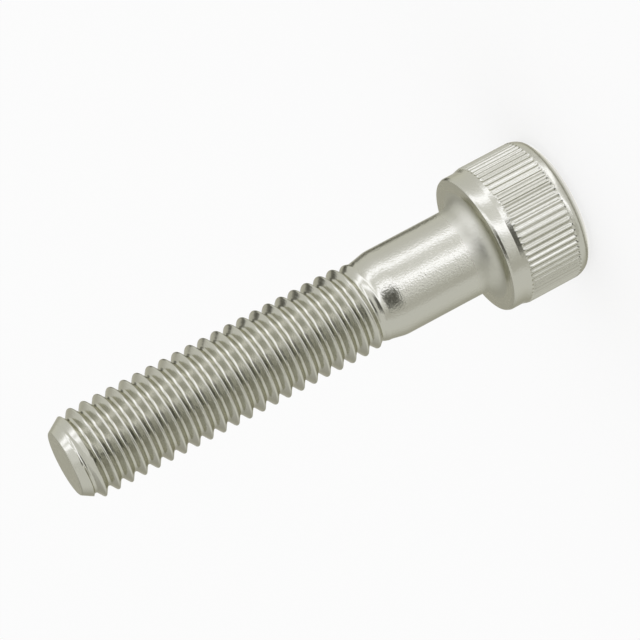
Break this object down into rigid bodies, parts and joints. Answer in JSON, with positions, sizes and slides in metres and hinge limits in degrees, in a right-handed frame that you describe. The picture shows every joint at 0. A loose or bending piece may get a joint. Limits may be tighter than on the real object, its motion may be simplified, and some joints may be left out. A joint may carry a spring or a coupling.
{
  "type": "socket head cap screw",
  "caption": "Hexagon socket head cap screw with a knurled cylindrical head, a plain shank and a coarse right-hand thread, for clamping machine parts.",
  "frame": {"origin": "centre of the flat top of the head, on the screw's axis, where the screw stands when it is put down on its head", "axes": "+Z along the screw's axis, from the head to the threaded tip; +X through two opposite corners of the hexagon socket"},
  "size_m": [0.0128, 0.0128, 0.0476],
  "materials": {
    "steel": "plain rolled stainless steel, bright, with a soft satin reflection"
  },
  "bodies": {
    "root": {"cap_screw": "steel"}
  },
  "joints": []
}
